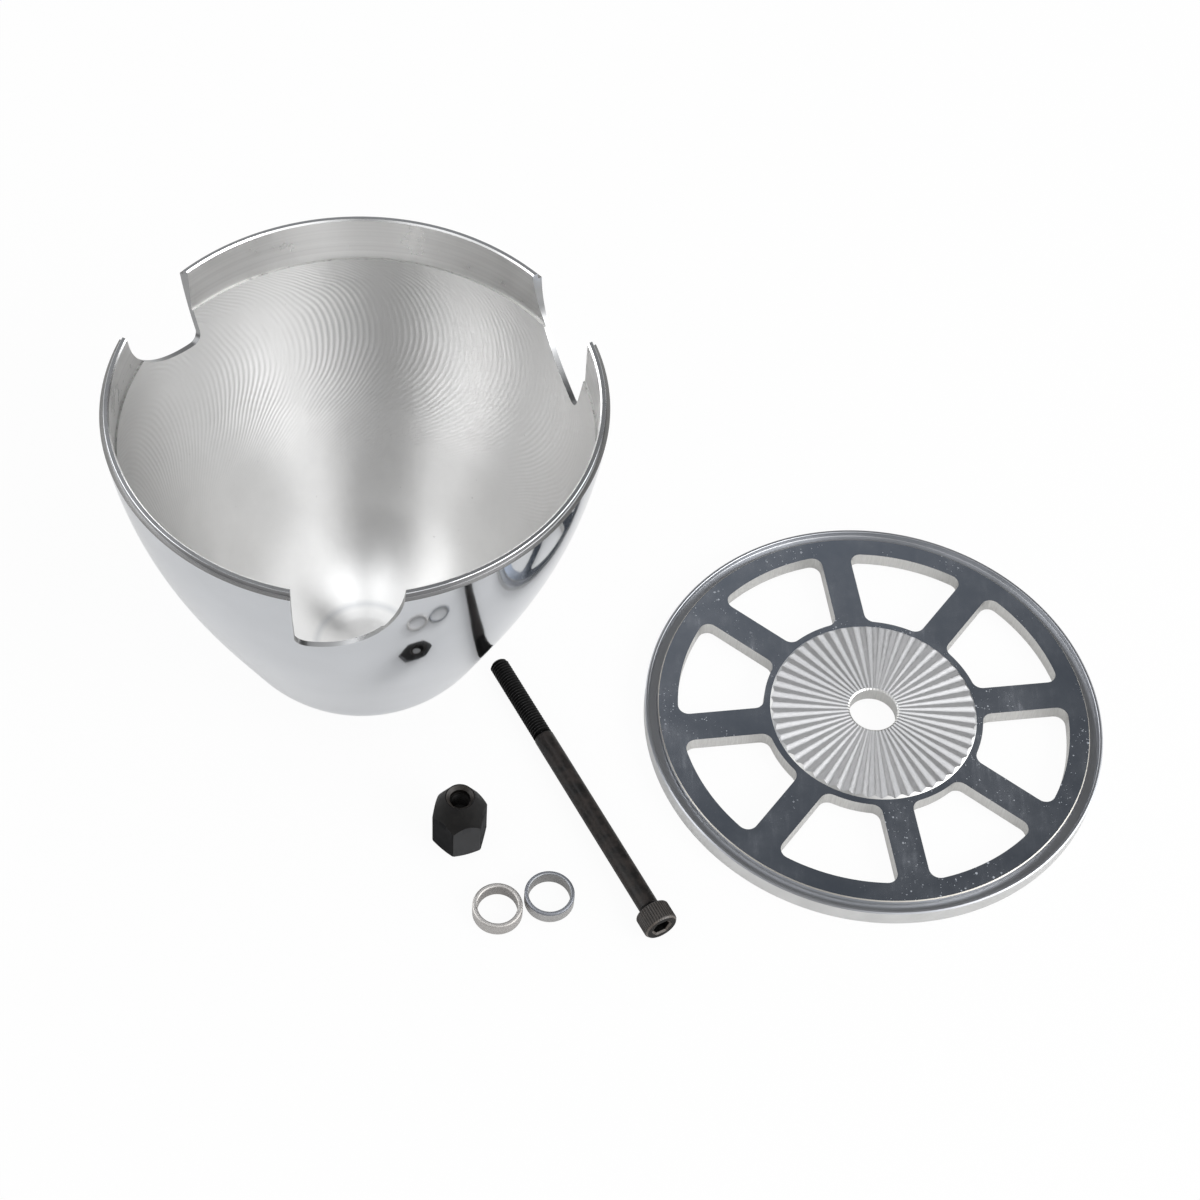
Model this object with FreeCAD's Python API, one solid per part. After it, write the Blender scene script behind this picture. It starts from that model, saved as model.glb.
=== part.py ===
import FreeCAD, Part
import math
import os

# Propeller spinner for a three-blade propeller, taken apart: a turned and polished cone with three
# blade cut-outs, its backplate with a serrated hub, the screw that clamps the cone, the nut for the
# engine shaft and two rings that reduce the backplate's bore. Millimetres, +Z up. Every piece rests
# on the plane z = 0, and the origin is the middle of their common footprint on that plane.

# --- Driving sizes -----------------------------------------------------------------------------

SPINNER_DIAMETER = 114.3        # 4.5 in, over the cone's rim and over the backplate

# Cone: a thin shell whose outline is a nose arc that runs into a gently curved flank.
CONE_HEIGHT = 98.5              # from the flat at the nose to the ledge at the rim
NOSE_ARC_RADIUS = 36.3
NOSE_ARC_END_ANGLE = 23.2       # degrees off the axis, where the flank takes over from the nose arc
RIM_DRAFT_ANGLE = 5.3           # degrees off the axis, where the flank ends at the rim
FLANK_FULLNESS = 0.36           # length of each of the flank curve's handles over that of its chord
NOSE_SEAT_RADIUS = 6.5          # flat at the tip, under the screw's head
NOSE_FLOOR_THICKNESS = 1.6      # metal between that flat and the flat inside
SHELL_WALL = 1.25
RIM_LEDGE_WIDTH = 1.0           # outer step of the rim, which the backplate's lip meets
TONGUE_WIDTH = 1.25             # inner step of the rim, which enters the backplate's groove
TONGUE_HEIGHT = 1.5
TONGUE_CHAMFER = 0.35
RIM_BAND_DEPTH = 13.0           # straight turned band inside, below the tongue's top

# Blade cut-outs: one straight side along the shaft, one side that sweeps up on a large arc.
BLADE_COUNT = 3
CUTOUT_WIDTH = 24.2             # across the cut-out at the ledge
CUTOUT_DEPTH = 20.6             # below the ledge, where the sweep would meet the straight side
CUTOUT_CORNER_RADIUS = 2.5

# Backplate.
PLATE_THICKNESS = 5.0
PLATE_EDGE_CHAMFER = 0.3
REAR_RELIEF_DEPTH = 1.0         # the rear is relieved inside a flat land at the rim
REAR_LAND_MARGIN = 1.3          # from the windows' outer arc to that land
GROOVE_CLEARANCE = 0.15         # outside and below the cone's tongue, which centres the cone
GROOVE_INNER_CLEARANCE = 0.95   # inside the tongue
BORE_DIAMETER = 12.0
BORE_CHAMFER = 0.4
HUB_DIAMETER = 51.6             # over the foot of the raised hub's chamfer
HUB_HEIGHT = 0.7                # above the face; its chamfer is as wide as it is high
SERRATION_COUNT = 48
SERRATION_DEPTH = 0.55          # at the hub's outer edge, running out to nothing at the axis
SERRATION_LAND = 0.08           # share of the pitch that stays flat on each ridge
WINDOW_COUNT = 8
WINDOW_OUTER_RADIUS = 48.9
HUB_TO_WINDOW = 1.6
SPOKE_WIDTH = 7.7
WINDOW_CORNER_RADIUS = 2.6

# Reducer rings, which slide into the backplate's bore.
RING_FIT_CLEARANCE = 0.02       # radial
RING_HEIGHT = 4.0
RING_CHAMFER = 0.35
THICK_RING_BORE = 9.525         # for a 3/8 in shaft
THIN_RING_BORE = 10.0

# Screw for the cone, M5 with a socket head.
SCREW_DIAMETER = 5.0
SCREW_THREAD_DIAMETER = 4.85    # over the crests of the rolled thread
SCREW_LENGTH = 80.0             # under the head
SCREW_THREAD_LENGTH = 25.0
SCREW_TIP_CHAMFER = 0.6
SCREW_HOLE_CLEARANCE = 0.2      # radial, in the cone's nose
HEAD_DIAMETER = 8.5
HEAD_HEIGHT = 5.0
HEAD_EDGE_CHAMFER = 0.45
HEAD_FOOT_CHAMFER = 0.15
HEAD_FILLET = 0.35              # under the head, against the shank
SOCKET_ACROSS_FLATS = 4.0
SOCKET_DEPTH = 2.5
KNURL_COUNT = 40
KNURL_DEPTH = 0.16

# Nut for the engine shaft: M8 from below, M5 for the cone's screw from above.
NUT_ACROSS_FLATS = 12.0
NUT_HEIGHT = 17.2
NUT_TOP_DIAMETER = 7.1
NUT_TAPER_HALF_ANGLE = 26.5     # degrees, of the turned top
NUT_FOOT_DIAMETER = 11.4        # flat ring left by the chamfer below
NUT_FOOT_CHAMFER_ANGLE = 30.0   # degrees above the resting plane
SHAFT_TAP_DIAMETER = 6.8        # tapping hole of M8
SHAFT_TAP_DEPTH = 9.0
SHAFT_TAP_CHAMFER = 0.6
SCREW_TAP_DIAMETER = 4.2        # tapping hole of M5
SCREW_LEAD_IN_DIAMETER = 6.6
SCREW_LEAD_IN_DEPTH = 2.0
DRILL_POINT_HALF_ANGLE = 59.0   # degrees

# Where each piece lies, measured from the backplate's axis, and how it is turned about Z.
CONE_PLACE = (-128.25, 15.7)
CONE_CUTOUT_AZIMUTH = -87.8
SPOKE_AZIMUTH = 8.6
NUT_PLACE = (-101.9, -37.2)
NUT_CORNER_AZIMUTH = -100.7
THICK_RING_PLACE = (-92.0, -58.3)
THIN_RING_PLACE = (-79.8, -54.5)
SCREW_MIDDLE_PLACE = (-75.0, -23.5)
SCREW_AZIMUTH = -61.15          # from the tip towards the head

# --- Sizes that follow from them ---------------------------------------------------------------

rim_radius = SPINNER_DIAMETER / 2
tongue_outer_radius = rim_radius - RIM_LEDGE_WIDTH
tongue_inner_radius = tongue_outer_radius - TONGUE_WIDTH
tongue_top = CONE_HEIGHT + TONGUE_HEIGHT
screw_hole_radius = SCREW_DIAMETER / 2 + SCREW_HOLE_CLEARANCE
bore_radius = BORE_DIAMETER / 2
hub_radius = HUB_DIAMETER / 2
hub_top = PLATE_THICKNESS + HUB_HEIGHT
hub_top_radius = hub_radius - HUB_HEIGHT
window_inner_radius = hub_radius + HUB_TO_WINDOW
ring_radius = bore_radius - RING_FIT_CLEARANCE
EXTRA = 1.0                     # by which a cutting tool runs past what it cuts


def vec(x, y, z=0.0):
    return FreeCAD.Vector(x, y, z)


def polar(radius, degrees, z=0.0):
    angle = math.radians(degrees)
    return vec(radius * math.cos(angle), radius * math.sin(angle), z)


def section_point(radius, z):
    """A point of a half-section, which lies in the XZ plane."""
    return vec(radius, 0, z)


def line(start, end):
    return Part.makeLine(start, end)


def arc(start, middle, end):
    return Part.Arc(start, middle, end).toShape()


def revolve(edges):
    """Turn a closed half-section about the Z axis."""
    face = Part.Face(Part.Wire(edges))
    return face.revolve(vec(0, 0), vec(0, 0, 1), 360)


def turned(points):
    """A turned solid from the corners of its half-section, each a (radius, z) pair."""
    corners = [section_point(radius, z) for radius, z in points]
    return revolve([line(a, b) for a, b in zip(corners, corners[1:] + corners[:1])])


def hexagon_prism(across_flats, height, corner_azimuth=0.0, z=0.0):
    corner_radius = across_flats / math.sqrt(3)
    corners = [polar(corner_radius, corner_azimuth + 60 * i, z) for i in range(6)]
    face = Part.Face(Part.makePolygon(corners + corners[:1]))
    return face.extrude(vec(0, 0, height))


def placed(shape, place, azimuth=0.0):
    """Turn a shape about Z, then move it to a place on the resting plane."""
    shape = shape.copy()
    shape.rotate(vec(0, 0), vec(0, 0, 1), azimuth)
    shape.translate(vec(*place))
    return shape


# --- Cone --------------------------------------------------------------------------------------

def spindle(offset):
    """The solid inside the cone's outline, moved inwards by offset, from the nose to the rim.

    The nose arc is centred on the axis, where the outer one leaves a flat of NOSE_SEAT_RADIUS at
    z = 0. The flank is a Bezier curve that leaves that arc without a kink.
    """
    nose_z = math.sqrt(NOSE_ARC_RADIUS ** 2 - NOSE_SEAT_RADIUS ** 2)
    nose_radius = NOSE_ARC_RADIUS - offset
    end_angle = math.radians(NOSE_ARC_END_ANGLE)
    draft = math.radians(RIM_DRAFT_ANGLE)

    def nose_point(angle):
        return section_point(nose_radius * math.cos(angle), nose_z - nose_radius * math.sin(angle))

    def along(angle, length):
        return section_point(length * math.sin(angle), length * math.cos(angle))

    tip = nose_point(math.pi / 2)
    flank_start = nose_point(end_angle)
    rim = section_point(rim_radius - offset * math.cos(draft), CONE_HEIGHT + offset * math.sin(draft))
    handle = FLANK_FULLNESS * (rim - flank_start).Length
    flank = Part.BezierCurve()
    flank.setPoles([flank_start, flank_start + along(end_angle, handle), rim - along(draft, handle), rim])
    top = section_point(0, rim.z)
    nose_arc = arc(tip, nose_point((end_angle + math.pi / 2) / 2), flank_start)
    return revolve([nose_arc, flank.toShape(), line(rim, top), line(top, tip)])


def between(shape, low_z, high_z):
    """What lies between two heights of a shape about the Z axis."""
    return shape.common(Part.makeCylinder(SPINNER_DIAMETER, high_z - low_z, vec(0, 0, low_z)))


def cone_body():
    """The shell with its stepped rim and the screw's hole, before the blade cut-outs."""
    band_bottom = tongue_top - RIM_BAND_DEPTH
    outside = between(spindle(0.0), 0, CONE_HEIGHT)
    tongue = Part.makeCylinder(tongue_outer_radius, TONGUE_HEIGHT, vec(0, 0, CONE_HEIGHT))
    cavity = between(spindle(SHELL_WALL), NOSE_FLOOR_THICKNESS, band_bottom)
    band = turned([
        (0, band_bottom),
        (tongue_inner_radius, band_bottom),
        (tongue_inner_radius, tongue_top - TONGUE_CHAMFER),
        (tongue_inner_radius + TONGUE_CHAMFER + EXTRA, tongue_top + EXTRA),
        (0, tongue_top + EXTRA),
    ])
    screw_hole = Part.makeCylinder(screw_hole_radius, NOSE_FLOOR_THICKNESS + 2 * EXTRA, vec(0, 0, -EXTRA))
    return outside.fuse(tongue).cut(cavity).cut(band).cut(screw_hole)


def blade_cutout_tool():
    """A prism along +X, whose section shows the cut-out as seen from outside the cone.

    The sweep's centre lies on the line of the straight side, and its radius follows from the
    width and the depth of the cut-out.
    """
    side_y = -CUTOUT_WIDTH / 2
    sweep_radius = (CUTOUT_WIDTH ** 2 + CUTOUT_DEPTH ** 2) / (2 * CUTOUT_DEPTH)
    centre_z = CONE_HEIGHT + sweep_radius - CUTOUT_DEPTH
    corner_y = side_y + CUTOUT_CORNER_RADIUS
    corner_reach = sweep_radius - CUTOUT_CORNER_RADIUS
    corner_z = centre_z - math.sqrt(corner_reach ** 2 - CUTOUT_CORNER_RADIUS ** 2)
    top_z = max(centre_z, tongue_top + EXTRA)
    near_x = rim_radius / 2

    def at(centre_y, z, radius, angle):
        return vec(near_x, centre_y + radius * math.cos(angle), z + radius * math.sin(angle))

    tangent = math.atan2(corner_z - centre_z, CUTOUT_CORNER_RADIUS)
    corner_start = at(corner_y, corner_z, CUTOUT_CORNER_RADIUS, -math.pi)
    corner_middle = at(corner_y, corner_z, CUTOUT_CORNER_RADIUS, (tangent - math.pi) / 2)
    corner_end = at(corner_y, corner_z, CUTOUT_CORNER_RADIUS, tangent)
    sweep_middle = at(side_y, centre_z, sweep_radius, tangent / 2)
    sweep_end = at(side_y, centre_z, sweep_radius, 0)
    top_right = vec(near_x, sweep_end.y, top_z)
    top_left = vec(near_x, side_y, top_z)
    edges = [line(top_left, corner_start), arc(corner_start, corner_middle, corner_end),
             arc(corner_end, sweep_middle, sweep_end)]
    if top_z > centre_z:
        edges.append(line(sweep_end, top_right))
    edges.append(line(top_right, top_left))
    return Part.Face(Part.Wire(edges)).extrude(vec(rim_radius, 0, 0))


def spinner_cone():
    tool = blade_cutout_tool()
    tools = [placed(tool, (0, 0), 360 * i / BLADE_COUNT) for i in range(BLADE_COUNT)]
    return placed(cone_body().cut(Part.makeCompound(tools)), CONE_PLACE, CONE_CUTOUT_AZIMUTH)


# --- Backplate ---------------------------------------------------------------------------------

def plate_body():
    """The turned plate: rear relief, rim lip, groove for the cone's tongue, raised hub, bore."""
    lip_radius = tongue_outer_radius + GROOVE_CLEARANCE
    face_radius = tongue_inner_radius - GROOVE_INNER_CLEARANCE
    groove_floor = PLATE_THICKNESS - TONGUE_HEIGHT - GROOVE_CLEARANCE
    land_radius = WINDOW_OUTER_RADIUS + REAR_LAND_MARGIN
    return turned([
        (bore_radius, REAR_RELIEF_DEPTH + BORE_CHAMFER),
        (bore_radius + BORE_CHAMFER, REAR_RELIEF_DEPTH),
        (land_radius, REAR_RELIEF_DEPTH),
        (land_radius, 0),
        (rim_radius - PLATE_EDGE_CHAMFER, 0),
        (rim_radius, PLATE_EDGE_CHAMFER),
        (rim_radius, PLATE_THICKNESS - PLATE_EDGE_CHAMFER),
        (rim_radius - PLATE_EDGE_CHAMFER, PLATE_THICKNESS),
        (lip_radius, PLATE_THICKNESS),
        (lip_radius, groove_floor),
        (face_radius, groove_floor),
        (face_radius, PLATE_THICKNESS),
        (hub_radius, PLATE_THICKNESS),
        (hub_top_radius, hub_top),
        (bore_radius + BORE_CHAMFER, hub_top),
        (bore_radius, hub_top - BORE_CHAMFER),
    ])


def serration_tool():
    """A V-shaped groove along +X that gets wider and deeper in step with its distance from the axis."""
    half_angle = math.pi * (1 - SERRATION_LAND) / SERRATION_COUNT
    fall = SERRATION_DEPTH / hub_top_radius

    def groove_section(radius):
        overshoot = 1 + EXTRA / SERRATION_DEPTH
        half_width = radius * math.tan(half_angle) * overshoot
        bottom = vec(radius, 0, hub_top - radius * fall)
        top_z = hub_top + radius * fall * (overshoot - 1)
        left = vec(radius, half_width, top_z)
        right = vec(radius, -half_width, top_z)
        return Part.makePolygon([bottom, left, right, bottom])

    return Part.makeLoft([groove_section(bore_radius - EXTRA), groove_section(hub_radius + EXTRA)], True, True)


def window_tools():
    """The windows between the hub and the rim, with parallel-sided spokes left between them."""
    depth = PLATE_THICKNESS + 2 * EXTRA
    ring = Part.makeCylinder(WINDOW_OUTER_RADIUS, depth, vec(0, 0, -EXTRA))
    ring = ring.cut(Part.makeCylinder(window_inner_radius, depth, vec(0, 0, -EXTRA)))
    spoke = Part.makeBox(rim_radius, SPOKE_WIDTH, depth, vec(0, -SPOKE_WIDTH / 2, -EXTRA))
    spokes = [placed(spoke, (0, 0), 360 * i / WINDOW_COUNT) for i in range(WINDOW_COUNT)]
    tools = []
    for window in ring.cut(Part.makeCompound(spokes)).Solids:
        upright = [edge for edge in window.Edges if edge.BoundBox.ZLength > depth / 2]
        tools.append(window.makeFillet(WINDOW_CORNER_RADIUS, upright))
    return tools


def backplate():
    groove = serration_tool()
    grooves = [placed(groove, (0, 0), 360 * i / SERRATION_COUNT) for i in range(SERRATION_COUNT)]
    plate = plate_body().cut(Part.makeCompound(window_tools()))
    return placed(plate.cut(Part.makeCompound(grooves)), (0, 0), SPOKE_AZIMUTH)


# --- Rings, screw and nut ----------------------------------------------------------------------

def reducer_ring(bore, place):
    inner = bore / 2
    return placed(turned([
        (inner, RING_CHAMFER),
        (inner + RING_CHAMFER, 0),
        (ring_radius - RING_CHAMFER, 0),
        (ring_radius, RING_CHAMFER),
        (ring_radius, RING_HEIGHT - RING_CHAMFER),
        (ring_radius - RING_CHAMFER, RING_HEIGHT),
        (inner + RING_CHAMFER, RING_HEIGHT),
        (inner, RING_HEIGHT - RING_CHAMFER),
    ]), place)


def knurl_tool():
    """One V groove along the head's side, at +X."""
    foot_z = SCREW_LENGTH - EXTRA
    outside = HEAD_DIAMETER / 2 + EXTRA
    bottom = HEAD_DIAMETER / 2 - KNURL_DEPTH
    half_width = (EXTRA + KNURL_DEPTH) * math.tan(math.radians(45))
    corners = [vec(bottom, 0, foot_z), vec(outside, half_width, foot_z), vec(outside, -half_width, foot_z)]
    length = EXTRA + HEAD_HEIGHT - HEAD_EDGE_CHAMFER
    return Part.Face(Part.makePolygon(corners + corners[:1])).extrude(vec(0, 0, length))


def screw_upright():
    """The screw along +Z, with the tip of its thread at z = 0."""
    thread_radius = SCREW_THREAD_DIAMETER / 2
    shank_radius = SCREW_DIAMETER / 2
    head_radius = HEAD_DIAMETER / 2
    head_top = SCREW_LENGTH + HEAD_HEIGHT
    shank_start = SCREW_THREAD_LENGTH + shank_radius - thread_radius
    body = turned([
        (0, 0),
        (thread_radius - SCREW_TIP_CHAMFER, 0),
        (thread_radius, SCREW_TIP_CHAMFER),
        (thread_radius, SCREW_THREAD_LENGTH),
        (shank_radius, shank_start),
        (shank_radius, SCREW_LENGTH - HEAD_FILLET),
        (shank_radius + HEAD_FILLET, SCREW_LENGTH),
        (head_radius - HEAD_FOOT_CHAMFER, SCREW_LENGTH),
        (head_radius, SCREW_LENGTH + HEAD_FOOT_CHAMFER),
        (head_radius, head_top - HEAD_EDGE_CHAMFER),
        (head_radius - HEAD_EDGE_CHAMFER, head_top),
        (0, head_top),
    ])
    socket = hexagon_prism(SOCKET_ACROSS_FLATS, SOCKET_DEPTH + EXTRA, 0, head_top - SOCKET_DEPTH)
    tool = knurl_tool()
    knurls = [placed(tool, (0, 0), 360 * i / KNURL_COUNT) for i in range(KNURL_COUNT)]
    return body.cut(Part.makeCompound(knurls)).cut(socket)


def cone_screw():
    """The screw lying down: the thread's tip and the foot of the head touch the resting plane."""
    tip_radius = SCREW_THREAD_DIAMETER / 2
    foot_radius = HEAD_DIAMETER / 2
    span = SCREW_LENGTH + HEAD_FOOT_CHAMFER - SCREW_TIP_CHAMFER
    slope = math.atan2(foot_radius - tip_radius, span)
    screw = screw_upright()
    screw.translate(vec(0, 0, -SCREW_LENGTH / 2))
    screw.rotate(vec(0, 0), vec(0, 1, 0), 90 - math.degrees(slope))
    tip_x = (SCREW_TIP_CHAMFER - SCREW_LENGTH / 2) * math.sin(slope)
    screw.translate(vec(0, 0, tip_radius * math.cos(slope) - tip_x))
    return placed(screw, SCREW_MIDDLE_PLACE, SCREW_AZIMUTH)


def prop_nut():
    """A hexagon with a turned, tapered top, tapped from both ends."""
    corner_radius = NUT_ACROSS_FLATS / math.sqrt(3) + EXTRA
    foot_radius = NUT_FOOT_DIAMETER / 2
    top_radius = NUT_TOP_DIAMETER / 2
    foot_rise = (corner_radius - foot_radius) * math.tan(math.radians(NUT_FOOT_CHAMFER_ANGLE))
    taper_drop = (corner_radius - top_radius) / math.tan(math.radians(NUT_TAPER_HALF_ANGLE))
    outside = turned([
        (0, 0),
        (foot_radius, 0),
        (corner_radius, foot_rise),
        (corner_radius, NUT_HEIGHT - taper_drop),
        (top_radius, NUT_HEIGHT),
        (0, NUT_HEIGHT),
    ])
    shaft_tap = SHAFT_TAP_DIAMETER / 2
    screw_tap = SCREW_TAP_DIAMETER / 2
    drill_point = (shaft_tap - screw_tap) / math.tan(math.radians(DRILL_POINT_HALF_ANGLE))
    holes = turned([
        (0, -EXTRA),
        (shaft_tap + SHAFT_TAP_CHAMFER + EXTRA, -EXTRA),
        (shaft_tap, SHAFT_TAP_CHAMFER),
        (shaft_tap, SHAFT_TAP_DEPTH),
        (screw_tap, SHAFT_TAP_DEPTH + drill_point),
        (screw_tap, NUT_HEIGHT - SCREW_LEAD_IN_DEPTH),
        (SCREW_LEAD_IN_DIAMETER / 2, NUT_HEIGHT),
        (SCREW_LEAD_IN_DIAMETER / 2, NUT_HEIGHT + EXTRA),
        (0, NUT_HEIGHT + EXTRA),
    ])
    hexagon = hexagon_prism(NUT_ACROSS_FLATS, NUT_HEIGHT, NUT_CORNER_AZIMUTH)
    return placed(hexagon.common(outside).cut(holes), NUT_PLACE)


# --- The set, laid out on its resting plane ----------------------------------------------------

def main():
    pieces = {
        "spinner_cone": spinner_cone(),
        "backplate": backplate(),
        "cone_screw": cone_screw(),
        "prop_nut": prop_nut(),
        "reducer_ring_thick": reducer_ring(THICK_RING_BORE, THICK_RING_PLACE),
        "reducer_ring_thin": reducer_ring(THIN_RING_BORE, THIN_RING_PLACE),
    }
    footprint = Part.makeCompound(list(pieces.values())).optimalBoundingBox(False, False)
    middle = vec(footprint.Center.x, footprint.Center.y)
    for name, shape in pieces.items():
        shape.translate(-middle)
        shape.exportStep(f"parts/{name}.step")


os.makedirs("parts", exist_ok=True)
main()
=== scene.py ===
import math

import bmesh
import bpy
import numpy as np
from mathutils import Matrix, Vector


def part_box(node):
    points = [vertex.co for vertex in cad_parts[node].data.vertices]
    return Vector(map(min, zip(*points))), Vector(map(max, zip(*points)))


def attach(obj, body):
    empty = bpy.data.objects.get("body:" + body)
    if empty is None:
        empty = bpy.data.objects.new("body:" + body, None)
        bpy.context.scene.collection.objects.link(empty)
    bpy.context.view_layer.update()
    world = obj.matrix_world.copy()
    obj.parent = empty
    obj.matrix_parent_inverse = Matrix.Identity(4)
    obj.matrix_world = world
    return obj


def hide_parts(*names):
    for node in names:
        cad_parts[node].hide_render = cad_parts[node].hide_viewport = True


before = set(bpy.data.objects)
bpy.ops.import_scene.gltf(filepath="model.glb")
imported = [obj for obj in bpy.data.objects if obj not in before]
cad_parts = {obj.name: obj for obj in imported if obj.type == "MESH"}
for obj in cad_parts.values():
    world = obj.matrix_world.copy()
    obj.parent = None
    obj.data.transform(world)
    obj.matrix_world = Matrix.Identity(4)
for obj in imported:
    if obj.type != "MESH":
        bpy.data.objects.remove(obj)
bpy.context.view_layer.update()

# Looks of a propeller spinner that is taken apart: polished cone, backplate with a serrated hub,
# screw, nut and two reducer rings. Sizes are in millimetres and turn into metres when a mesh is made.

MM = 0.001

# --- Sizes shared with the CAD model ------------------------------------------------------------
# BORE, HUB_FOOT, SHANK, HEAD, SHAFT_TAP and other such plain names are radii.

RIM_RADIUS = 57.15
CONE_HEIGHT = 98.5
NOSE_RADIUS = 36.3
NOSE_END_ANGLE = math.radians(23.2)
RIM_DRAFT = math.radians(5.3)
FLANK_FULLNESS = 0.36
SEAT_RADIUS = 6.5
FLOOR_THICKNESS = 1.6
WALL = 1.25
TONGUE_OUTER, TONGUE_INNER = 56.15, 54.9
TONGUE_HEIGHT = 1.5
TONGUE_CHAMFER = 0.35
BAND_BOTTOM = CONE_HEIGHT + TONGUE_HEIGHT - 13.0
NOSE_HOLE = 2.7

CUTOUT_COUNT = 3
CUTOUT_WIDTH, CUTOUT_DEPTH, CUTOUT_CORNER = 24.2, 20.6, 2.5
CUTOUT_AZIMUTH = math.radians(-87.8)

PLATE_TOP, RIM_EDGE = 5.0, 0.3
RELIEF, RELIEF_RADIUS = 1.0, 50.2
GROOVE_OUTER, GROOVE_INNER, GROOVE_FLOOR = 56.3, 53.95, 3.35
BORE, BORE_CHAMFER = 6.0, 0.4
HUB_FOOT, HUB_EDGE, HUB_TOP = 25.8, 25.1, 5.7
SERRATIONS, SERRATION_DEPTH = 48, 0.55
WINDOWS, WINDOW_INNER, WINDOW_OUTER = 8, 27.4, 48.9
SPOKE_HALF, WINDOW_CORNER = 3.85, 2.6
SPOKE_AZIMUTH = math.radians(8.6)

RING_OUTER, RING_HEIGHT = 5.98, 4.0
THICK_RING_BORE, THIN_RING_BORE = 4.7625, 5.0

SHANK, SCREW_LENGTH, THREAD_LENGTH, TIP_CHAMFER = 2.5, 80.0, 25.0, 0.6
HEAD, HEAD_HEIGHT, HEAD_FILLET = 4.25, 5.0, 0.35
KNURLS, KNURL_DEPTH = 40, 0.16
SOCKET_HALF, SOCKET_DEPTH = 2.0, 2.5
SCREW_AZIMUTH = math.radians(-61.15)

NUT_HALF, NUT_HEIGHT = 6.0, 17.2
NUT_TOP, NUT_TAPER = 3.55, math.radians(26.5)
NUT_FOOT, NUT_FOOT_ANGLE = 5.7, math.radians(30)
NUT_CORNER_AZIMUTH = math.radians(-100.7)
SHAFT_TAP, SCREW_TAP, SHAFT_DEPTH = 3.4, 2.1, 9.0
SHAFT_MOUTH = 0.6               # chamfer at the foot of the shaft's thread
SUNK_RADIUS = 3.3               # mouth of the screw's hole in the nut's top

# --- Threads, worn edges and mesh sizes that only the scene has, or has differently -------------

# Chatter of the boring tool in the cone: waves a turn, the height at which the lines stand
# upright, how fast they lean away from it, and the depth of the waves.
CHATTER_WAVES, CHATTER_UPRIGHT, CHATTER_LEAN, CHATTER_DEPTH = 210, 66.0, 0.021, 0.0135
PAINTED_SHADE_RING, PAINTED_SHADE_RING_WIDTH = 12.5, 1.3        # painted shade: a faint dark ring in the nose, where its floor would meet the wall

CONE_COLUMNS = 288              # faces round the cone
CLEAR_CUT = 5.0                 # how far a cutter reaches past the cone
LEDGE_FILLET, TONGUE_EDGE = 0.12, 0.1
LIP_EDGE, GROOVE_FILLET, GROOVE_EDGE = 0.12, 0.2, 0.25
RING_ROUND = 0.5                # worn edge: round at the top, and a chamfer at the foot
THICK_RING_CHAMFER, THIN_RING_CHAMFER = 0.5, 0.3        # the same at the bores

THREAD, THREAD_ROOT, PITCH = 2.43, 1.98, 0.8    # radii of crest and root, and the pitch
THREAD_RUNOUT = 0.6             # bare length between the thread and the shank
SHOULDER = 0.25                 # length over which the thread's size grows to the shank's
THREAD_START = 0.02             # height at which the helix leaves the tip's flat end
NECK_LOW, NECK_DEPTH = 1.2, 0.08                # neck under the screw's head, near black as painted shade
HEAD_EDGE, HEAD_ROUND = 0.2, 0.5
KNURL_END, BEVEL_END, BEVEL_DEPTH = 0.62, 0.36, 0.16     # below the head's top, and into its side
SOCKET_CHAMFER, SOCKET_POINT = 0.42, 0.3

CORNER_EDGE = 0.12              # taken off the nut's corners
SUNK_DEPTH = 0.9                # countersink in the nut's top
RELIEF_BORE, RELIEF_DEPTH = 2.5, 2.0            # clear bore between the countersink and the thread
THREAD_LOW = 10.2               # where the screw's thread ends in the nut


# --- Meshes -------------------------------------------------------------------------------------

def add_piece(name, points, faces, slots, face_slots, uvs):
    """A smooth-shaded piece from millimetre points, with sharp edges where its faces meet at an angle."""
    mesh = bpy.data.meshes.new(name)
    mesh.from_pydata([tuple(p) for p in np.asarray(points) * MM], [], faces)
    for slot in slots:
        mesh.materials.append(slot)
    mesh.polygons.foreach_set("material_index", face_slots)
    layer = mesh.uv_layers.new(name="turned")
    layer.data.foreach_set("uv", np.asarray(uvs, np.float32).ravel())
    piece = bpy.data.objects.new(name, mesh)
    bpy.context.scene.collection.objects.link(piece)
    clean(mesh)
    return piece


def clean(mesh, sharp=math.radians(28)):
    """Merge points that coincide, drop what has no area and mark sharp edges."""
    work = bmesh.new()
    work.from_mesh(mesh)
    bmesh.ops.remove_doubles(work, verts=work.verts, dist=1e-7)
    bmesh.ops.dissolve_degenerate(work, edges=work.edges, dist=1e-8)
    bmesh.ops.recalc_face_normals(work, faces=work.faces)
    work.to_mesh(mesh)
    work.free()
    mesh.polygons.foreach_set("use_smooth", [True] * len(mesh.polygons))
    mesh.set_sharp_from_angle(angle=sharp)
    mesh.update()


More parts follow.
